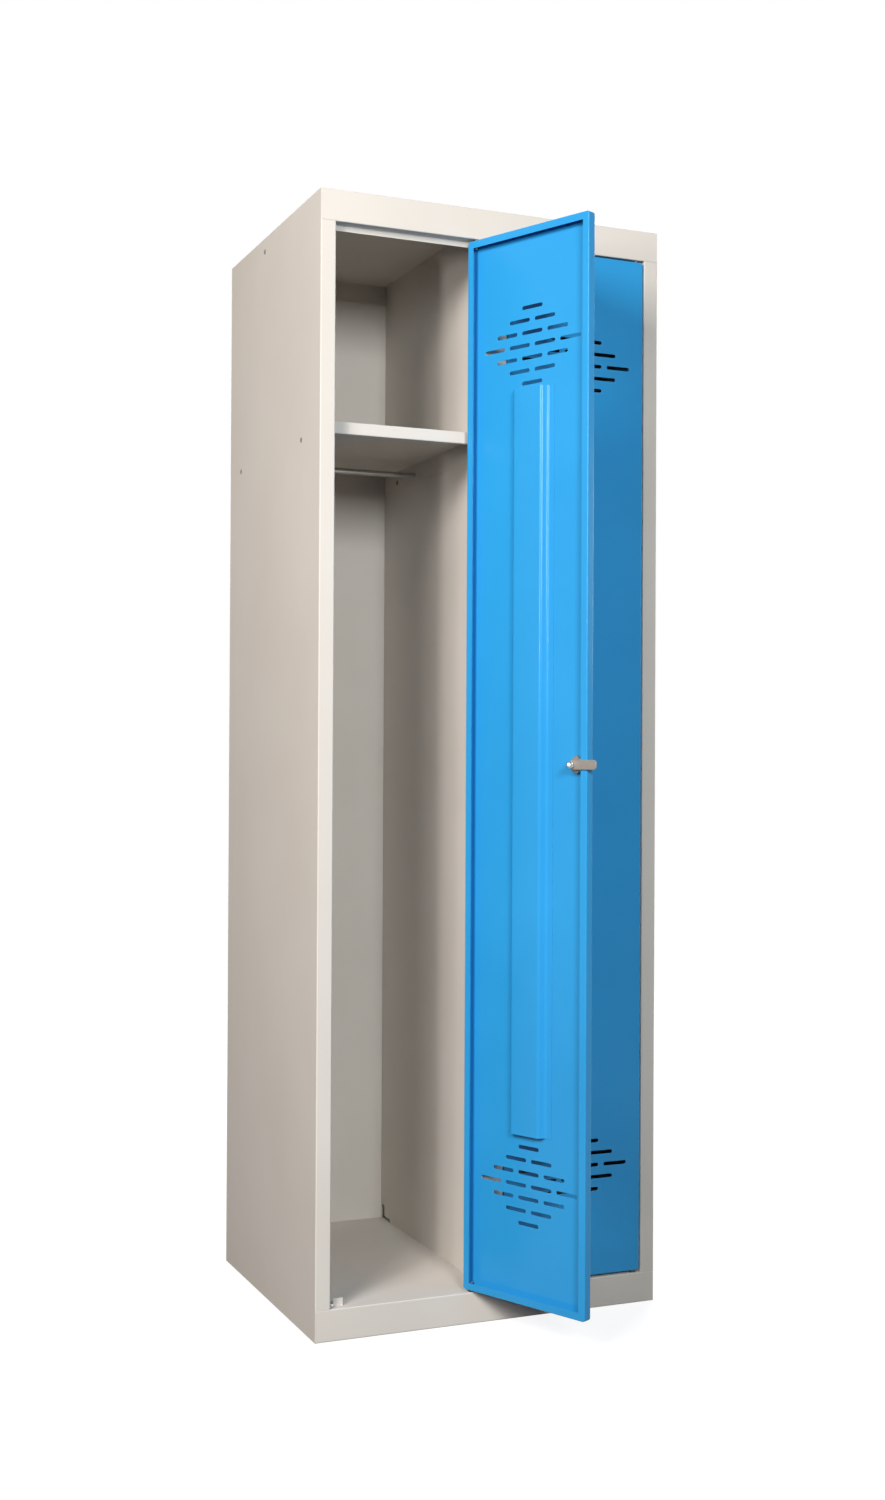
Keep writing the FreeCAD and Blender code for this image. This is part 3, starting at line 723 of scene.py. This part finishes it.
def door_field():
    """The flat of the door on both faces, and the walls of its holes."""
    places = slot_places()
    lock_place = np.array((lock_x, lock_z))
    edge = np.array(door_half) - field_inset
    outer = edge * four_corners
    holes = [slot_outline(hole_reach) + place for place in places]
    holes.append(lock_outline(hole_reach) + lock_place)

    def inside_hole(middles):
        """True within a slot, where the distance to its middle line is small, or within the lock's hole."""
        away = np.abs(middles[:, None] - places)
        away[..., 0] = np.maximum(away[..., 0] - (slot_length - slot_height) / 2, 0)
        in_slot = (np.linalg.norm(away, axis=2) < slot_height / 2 + hole_reach).any(axis=1)
        return in_slot | (np.linalg.norm(middles - lock_place, axis=1) < lock_hole_radius + hole_reach)

    points, triangles = filled(outer, holes, inside_hole)
    faces = [(in_door(points[:, 0], depth, points[:, 1]), triangles) for depth in (0, sheet)]
    walls = [hole_wall(slot_outline, place) for place in places]
    return faces + walls + [hole_wall(lock_outline, lock_place)]


print(len(slot_places()), "slots in each door")

# %% [markdown]
# ## Two doors from one
# The left door is the same pan, hung on the post and standing open. So it is built closed at the right and
# then turned about its own hinge pin by the angle that the model's joint needs to close it.

# %% Both doors
left_opening = math.radians(-ranges["left_door_swing"][0])


def in_left_door(patches):
    """Pieces of the closed right door, turned about the pin and moved to the left door's pin."""
    turn = np.array(Matrix.Rotation(left_opening, 3, "Z"))
    right_pin = np.array((*pivots["right_door_swing"].xy, 0))
    left_pin = np.array((*pivots["left_door_swing"].xy, 0))
    return [((points - right_pin) @ turn.T + left_pin, faces) for points, faces in patches]


door = [door_rim()] + door_field()
make_piece("right_door", blue_paint, door)
make_piece("left_door", blue_paint, in_left_door(door))

# %% [markdown]
# ## Stiffeners
# A hat section welded upright inside each door keeps the sheet from drumming. It is rolled rather than
# pressed, so its folds are soft, and they catch the light as long bright lines. It is a folded profile with
# a larger radius.

# %% Stiffeners
hat_crown, hat_foot, hat_flange = 56 * mm, 70 * mm, 12 * mm
hat_bend = 6 * mm
hat_low, hat_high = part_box("right_door_stiffener")
hat_base, hat_top = hat_low.y, hat_high.y - sheet
hat_half = ((hat_foot / 2 + hat_flange, hat_base), (hat_foot / 2, hat_base), (hat_crown / 2, hat_top))
hat_path = [(door_middle[0] - across, y) for across, y in hat_half]
hat_path += [(door_middle[0] + across, y) for across, y in reversed(hat_half)]
stiffener = [sheet_patch(fold_profile(hat_path, hat_bend), (hat_low.z, hat_high.z), "z")]
make_piece("right_door_stiffener", blue_paint, stiffener)
make_piece("left_door_stiffener", blue_paint, in_left_door(stiffener))

# %% [markdown]
# ## Turned pieces
# Rods, pins, bushes, rivets and most of the lock were turned, headed or cast round. All of them are one
# function: a radius for each height and angle. Flats are a limit on that radius, because a flat at some
# distance from the axis lies at that distance divided by the cosine of the angle.

# %% Helpers for turned pieces
round_steps = 48
round_angle = np.arange(round_steps) * 2 * math.pi / round_steps
least_cosine = 1e-3


def all_round(radius):
    """Radii that stay the same at every angle, one row for each."""
    return np.repeat(np.array(radius, float)[:, None], round_steps, axis=1)


def turned(radius, level):
    """A round piece about z: row i lies at its level, and its radius may change with the angle."""
    radius = np.array(radius, float)
    if radius.ndim == 1:
        radius = all_round(radius)
    rise = np.broadcast_to(np.array(level, float)[:, None], radius.shape)
    return ring_patch(np.stack([radius * np.cos(round_angle), radius * np.sin(round_angle), rise], axis=-1))


def flat_limit(across, count):
    """The radius of a prism with this many flats: half the width over the cosine to the nearest flat."""
    sector = 2 * math.pi / count
    off = (round_angle + sector / 2) % sector - sector / 2
    return across / 2 / np.maximum(np.cos(off), least_cosine)


def profile(corners_mm):
    """Radii and levels in metres, from corners in millimetres."""
    corners = np.array(corners_mm, float) * mm
    return corners[:, 0], corners[:, 1]


def along_x(patch, place):
    """A turned piece laid so that it points along +x from a place."""
    points, faces = patch
    return points[:, [2, 1, 0]] * (1, 1, -1) + np.array(place), faces


print("round pieces have", round_steps, "sides")

# %% [markdown]
# ## Coat rails and rivets
# The coat rail is a drawn rod with broken edges, held in the shelf's sides. The shelves and the roof hang
# on blind rivets: a low domed head with the hollow of the pulled-off mandrel outside, and a bulb behind the
# last sheet.

# %% Coat rails
rail_low, rail_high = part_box("left_coat_rail")
rod_radius = (rail_high.z - rail_low.z) / 2
rod_length = rail_high.x - rail_low.x
rod_edge = 0.6 * mm
rod = turned((0, rod_radius - rod_edge, rod_radius, rod_radius, rod_radius - rod_edge, 0),
             (0, 0, rod_edge, rod_length - rod_edge, rod_length, rod_length))
rod_place = (rail_low.x, (rail_low.y + rail_high.y) / 2, (rail_low.z + rail_high.z) / 2)
make_piece("left_coat_rail", bright_zinc, [along_x(rod, rod_place)])
make_piece("right_coat_rail", bright_zinc, mirrored([along_x(rod, rod_place)]))

# %% Rivets
def rivet(grip):
    """A set rivet along +z: domed head below zero, shank through the grip, and the bulb beyond it."""
    grip_mm = grip / mm
    head = [(0, -0.75), (0.7, -0.75), (0.95, -1.12), (1.3, -1.2), (2.2, -1.14), (3.2, -0.93), (4.0, -0.6),
            (4.5, -0.3), (4.75, -0.08), (4.75, 0), (1.6, 0)]
    bulb = [(1.6, 0.0), (2.2, 0.1), (2.5, 0.7), (2.5, 1.5), (2.2, 2.4), (1.6, 2.9), (0, 3.0)]
    return turned(*profile(head + [(radius, grip_mm + level) for radius, level in bulb]))


head_radius = 4.75 * mm
shelf_spots = np.array(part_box("shelf_rivets"))
fixing_level = shelf_spots[:, 2].mean()
shelf_rivet_ys = (shelf_spots[0, 1] + head_radius, shelf_spots[1, 1] - head_radius)
roof_spot = np.array(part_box("roof_rivets")).mean(axis=0)
outside = side_low.x
in_side = [along_x(rivet(2 * sheet), (outside, y, fixing_level)) for y in shelf_rivet_ys]
in_roof = [along_x(rivet(2 * sheet), (outside, roof_spot[1], roof_spot[2]))]
in_divider = [along_x(rivet(3 * sheet), (wall_x - sheet, y, fixing_level)) for y in shelf_rivet_ys]
make_piece("shelf_rivets", dull_zinc, in_side + mirrored(in_side))
make_piece("roof_rivets", dull_zinc, in_roof + mirrored(in_roof))
make_piece("divider_rivets", dull_zinc, in_divider)

# %% [markdown]
# ## Hinge pins and bushes
# Each door turns on two headed pins, one in the floor and one in the rail, in flanged nylon bushes. They
# hardly show, but they are there when the door swings. The upper ones are the lower ones upside down.

# %% Hinge pins and bushes
bottom_gap = door_low.z - floor_level
top_gap = rail_level - door_high.z
pin_in_door_mm, bush_in_door_mm = 12, 9


def hinge_pin(gap):
    """A headed pin: level zero is the face of the sheet, with the head behind it and the tip in the door."""
    tip = gap / mm + pin_in_door_mm
    head = [(0, -2.8), (3.6, -2.8), (4, -2.4), (4, -0.8)]
    return turned(*profile(head + [(3, -0.8), (3, tip - 0.7), (2.3, tip), (0, tip)]))


def hinge_bush(gap):
    """A flanged sleeve: the flange runs on the sheet, the sleeve is in the door, and the outline closes."""
    start = gap / mm
    top = start + bush_in_door_mm
    flange = [(3.05, 0.2), (4.8, 0.2), (5, 0.4), (5, start)]
    sleeve = [(4.5, start), (4.5, top - 0.4), (4.1, top), (3.05, top), (3.05, 0.2)]
    return turned(*profile(flange + sleeve))


def at_hinge(make, joint):
    """A hinge piece on the floor and, upside down, under the rail."""
    place = pivots[joint]
    low_points, low_faces = make(bottom_gap)
    high_points, high_faces = make(top_gap)
    low = (low_points + (place.x, place.y, floor_level), low_faces)
    high = (high_points * (1, -1, -1) + (place.x, place.y, rail_level), high_faces)
    return [low, high]


for side in ("left", "right"):
    make_piece(side + "_hinge_pins", bright_zinc, at_hinge(hinge_pin, side + "_door_swing"))
    make_piece(side + "_hinge_bushes", nylon, at_hinge(hinge_bush, side + "_door_swing"))

# %% [markdown]
# ## Cam locks
# A cam lock is a threaded barrel through the door, held by a nut. The plug inside turns with the key and
# carries the cam, a tongue that reaches behind the frame. The barrel is a helix of threads with two flats,
# the nut and the screw are prisms with chamfered corners, and the plug's face is a ring that runs in to the
# keyway's outline.

# %% Lock housing and nut
thread_pitch, thread_depth = 1.0 * mm, 0.45 * mm
thread_steps, thread_runout = 6, 0.5 * mm
barrel_radius, barrel_end = 9.5 * mm, 15.7 * mm
barrel_flats, nut_flats, screw_flats = 16 * mm, 24 * mm, 10 * mm
dome_radius_mm, screw_top_mm, dome_steps = 4.75, 30.5, 8


def lock_housing():
    """Face, threaded barrel and bore: the radius falls and rises once a pitch, moved by the angle."""
    levels = np.arange(0, barrel_end - thread_runout, thread_pitch / thread_steps)[:, None]
    phase = (levels / thread_pitch - round_angle / (2 * math.pi)) % 1
    barrel = np.minimum(barrel_radius - thread_depth * np.abs(2 * phase - 1), flat_limit(barrel_flats, 2))
    face_radius, face_level = profile([(6.65, -2.5), (7.6, -2.5), (10.2, -2.35), (10.75, -2.0), (11, -1.4),
                                       (11, 0)])
    end_radius, end_level = profile([(8.6, 15.7), (6.65, 15.7), (6.65, -2.5)])
    end = np.minimum(all_round(end_radius), flat_limit(barrel_flats, 2))
    radius = np.concatenate([all_round(face_radius), barrel, end])
    return turned(radius, np.concatenate([face_level, levels[:, 0], end_level]))


def prism(corners_mm, across):
    """A six-sided piece: the turned outline, no further out than the flats."""
    radius, level = profile(corners_mm)
    return turned(np.minimum(radius[:, None], flat_limit(across, 6)), level)


def cam_screw():
    """A hexagon screw with a domed head: a quarter circle from the top, the chamfered flats and the shank."""
    bow = np.linspace(math.pi / 2, 0, dome_steps + 1)
    dome_level = screw_top_mm - dome_radius_mm + dome_radius_mm * np.sin(bow)
    dome = np.stack([dome_radius_mm * np.cos(bow), dome_level], axis=1)
    head = [(4.75, 24.1), (5.3, 23.9), (5.78, 23.4), (5.78, 18.5)]
    shank = [(2.5, 18.5), (2.5, 9.6), (2.0, 9.1), (0, 9.1)]
    return prism(dome.tolist() + head + shank, screw_flats)


lock_nut = prism([(9.55, 0.8), (12.4, 0.8), (13.9, 1.2), (13.9, 8.9), (13.4, 9.2), (12.8, 9.5), (12, 9.8),
                  (9.55, 9.8), (9.55, 0.8)], nut_flats)
print("barrel of", len(lock_housing()[0]), "points")

# %% Lock plug and cam
keyway_half_width, keyway_half_height = 0.9 * mm, 4 * mm
square_corner, square_flats = 4.9 * mm, 7 * mm
cam_front, cam_back = 16 * mm, 18.5 * mm
cam_half, cam_corner, cam_arc_steps = 7.5 * mm, 5 * mm, 12
cam_reach = 46 * mm
cam_edge = 0.5 * mm
cam_square_half = 3.55 * mm


def lock_plug():
    """Rows from the bottom of the keyway out over the face, along the barrel and in to the square end."""
    keyway = np.minimum(keyway_half_width / np.maximum(np.abs(np.cos(round_angle)), least_cosine),
                        keyway_half_height / np.maximum(np.abs(np.sin(round_angle)), least_cosine))
    square = np.minimum(square_corner, flat_limit(square_flats, 4))
    whole = np.ones(round_steps) * mm
    rows = [(0 * whole, 5.9), (keyway, 5.9), (keyway, -2.0), (keyway + 0.15 * whole, -2.1),
            (6.3 * whole, -2.1), (6.5 * whole, -1.9), (6.5 * whole, 16), (square, 16), (square, 18.4),
            (0 * whole, 18.4)]
    return turned(np.stack([row[0] for row in rows]), np.array([row[1] for row in rows]) * mm)


def cam_outline(inset):
    """The tongue's outline: a half circle about the axis and two corner arcs, all smaller by the inset."""
    end_x, end_y = cam_corner - cam_reach, cam_half - cam_corner
    arcs = ((0, 0, cam_half, -90, 90), (end_x, end_y, cam_corner, 90, 180),
            (end_x, -end_y, cam_corner, 180, 270))
    loops = []
    for x, y, radius, first, last in arcs:
        angle = np.radians(np.linspace(first, last, cam_arc_steps + 1))
        size = radius - inset
        loops.append(np.stack([x + size * np.cos(angle), y + size * np.sin(angle)], axis=1))
    return np.concatenate(loops)


def at_levels(loops, levels):
    """Flat loops set at their levels: x and y come from the loop and z from the level."""
    rise = np.broadcast_to(np.array(levels)[:, None, None], (*loops.shape[:2], 1))
    return np.concatenate([loops, rise], axis=2)


def lock_cam():
    """A stamped plate: edges rounded by quarter circles, both faces filled round the square hole."""
    inset, drop = quarter_roll(cam_edge)
    levels = np.concatenate([cam_front + drop, cam_back - drop[::-1]])
    loops = np.stack([cam_outline(step) for step in np.concatenate([inset, inset[::-1]])])
    square = cam_square_half * four_corners
    points, triangles = filled(loops[0], [square],
                               lambda middles: (np.abs(middles) < cam_square_half).all(axis=1))
    ends = (cam_front, cam_back)
    faces = [(np.column_stack([points, np.full(len(points), level)]), triangles) for level in ends]
    return [ring_patch(at_levels(loops, levels)), *faces, ring_patch(at_levels(np.stack([square] * 2), ends))]


print("cam of", sum(len(patch[0]) for patch in lock_cam()), "points")

# %% [markdown]
# ## Setting the locks in the doors
# A lock's own axis is z, from outside the door inwards. In the closed door that axis points along +y, so a
# lock piece is first turned about its axis and then laid over. The left cam lies across the door's free
# edge, the right cam hangs down.

# %% Locks in both doors
def at_lock(patches, quarter_turns=0):
    """Lock pieces in the closed right door: turned about the lock's axis, then z laid along the depth."""
    turn = np.array(Matrix.Rotation(-quarter_turns * math.pi / 2, 3, "Z"))
    place = np.array(pivots["right_lock_turn"])
    return [((points @ turn.T)[:, [0, 2, 1]] * (1, 1, -1) + place, faces) for points, faces in patches]


lock_pieces = {
    "lock_housing": [lock_housing()],
    "lock_nut": [lock_nut],
    "lock_plug": [lock_plug()],
    "lock_cam": lock_cam(),
    "cam_screw": [cam_screw()],
}
turning_pieces = ("lock_plug", "lock_cam", "cam_screw")
for name, patches in lock_pieces.items():
    finish = screw_zinc if name == "cam_screw" else nickel
    make_piece("left_" + name, finish, in_left_door(at_lock(patches)))
    make_piece("right_" + name, finish, at_lock(patches, quarter_turns=int(name in turning_pieces)))

# %% [markdown]
# ## Floor and light
# The photograph shows the locker cut out on white. A pale floor and a white world give that, and the floor
# keeps a soft shadow so that the locker stands on something. The main light is a broad soft box at the
# front left, whose width makes the shadow on the divider fade slowly. A small low lamp near it draws the
# bright lines on the door's folds, and a weaker light in front fills the compartment. The open door shades
# the closed one, which is why the right door looks darker. Lights on the right, behind and above serve the
# sides that the photograph hides.

# %% Floor
floor_size = 14.0
near_glow, far_glow = 0.84, 1.0
glow_start, glow_end = 0.5, 2.2
seen_grey, bounce_grey = 0.22, 0.04


def seen_by_eye(tree):
    """One for rays from the camera, from a gloss or through glass, and zero for light that bounces."""
    rays = add_node(tree, "LightPath").outputs
    seen = add_node(tree, "Math", {0: rays["Is Camera Ray"], 1: rays["Is Glossy Ray"]}, operation="MAXIMUM")
    seen = add_node(tree, "Math", {0: seen.outputs[0], 1: rays["Is Transmission Ray"]}, operation="MAXIMUM")
    return seen.outputs[0]


corner = floor_size / 2
floor_corners = [(-corner, -corner, 0), (corner, -corner, 0), (corner, corner, 0), (-corner, corner, 0)]
ground_mesh = bpy.data.meshes.new("studio_floor")
ground_mesh.from_pydata(floor_corners, [], [(0, 1, 2, 3)])
ground = bpy.data.objects.new("studio_floor", ground_mesh)
bpy.context.scene.collection.objects.link(ground)

paper = bpy.data.materials.new("matt_white_paper")
paper.use_nodes = True
tree = paper.node_tree
tree.nodes.clear()
paper_white = add_node(tree, "BsdfDiffuse", {"Color": (seen_grey, seen_grey, seen_grey, 1)})
paper_bounce = add_node(tree, "BsdfDiffuse", {"Color": (bounce_grey, bounce_grey, bounce_grey, 1)})
place = add_node(tree, "TexCoord").outputs["Object"]
away = add_node(tree, "VectorMath", {0: place}, operation="LENGTH")
glow = add_node(tree, "MapRange", {"Value": away.outputs["Value"], "From Min": glow_start,
                                   "From Max": glow_end, "To Min": near_glow, "To Max": far_glow},
                interpolation_type="SMOOTHSTEP")
seen_white = add_node(tree, "Emission", {"Color": (1, 1, 1, 1), "Strength": glow.outputs["Result"]})
lit_white = add_node(tree, "AddShader", {0: paper_white.outputs[0], 1: seen_white.outputs[0]})
mixed = add_node(tree, "MixShader", {0: seen_by_eye(tree), 1: paper_bounce.outputs[0],
                                     2: lit_white.outputs[0]})
add_node(tree, "OutputMaterial", {"Surface": mixed.outputs[0]})
ground_mesh.materials.append(paper)
print("floor", floor_size, "m wide")

# %% World
room_light = 0.015
world = bpy.data.worlds.new("white_studio")
world.use_nodes = True
tree = world.node_tree
tree.nodes.clear()
backdrop = add_node(tree, "Background", {"Color": (1, 1, 1, 1), "Strength": 1.0})
fill = add_node(tree, "Background", {"Color": linear("#FFF6EC"), "Strength": room_light})
mixed = add_node(tree, "MixShader", {0: seen_by_eye(tree), 1: fill.outputs[0], 2: backdrop.outputs[0]})
add_node(tree, "OutputWorld", {"Surface": mixed.outputs[0]})
bpy.context.scene.world = world
print("room light", room_light)

# %% Soft lights
def soft_light(name, place, aim, size, power, tint):
    """A rectangular light that faces a point."""
    lamp = bpy.data.lights.new(name, "AREA")
    lamp.shape = "RECTANGLE"
    lamp.size, lamp.size_y = size
    lamp.energy = power
    lamp.color = linear(tint)[:3]
    holder = bpy.data.objects.new(name, lamp)
    holder.location = place
    holder.rotation_euler = (Vector(aim) - Vector(place)).to_track_quat("-Z", "Y").to_euler()
    bpy.context.scene.collection.objects.link(holder)
    print(name, power, "watts")


middle = (0, -0.2, 0.95)
roof_middle = (0, 0.1, 1.8)
soft_light("left_key", (-2.92, -2.35, 2.55), middle, (1.5, 1.1), 130, "#FFFAF6")
soft_light("low_key", (-2.67, -2.2, 1.45), middle, (0.25, 0.45), 25, "#FFFAF6")
soft_light("front_fill", (-0.61, -3.73, 1.93), middle, (0.8, 0.8), 82, "#FAFFFF")
soft_light("right_side", (3.0, -0.5, 1.6), middle, (0.8, 0.8), 24, "#FFFEFB")
soft_light("behind", (2.4, 2.6, 2.2), middle, (1.6, 1.6), 120, "#FFFEFB")
soft_light("overhead", (0.0, 0.7, 3.6), roof_middle, (1.2, 1.2), 8, "#FFFEFB")
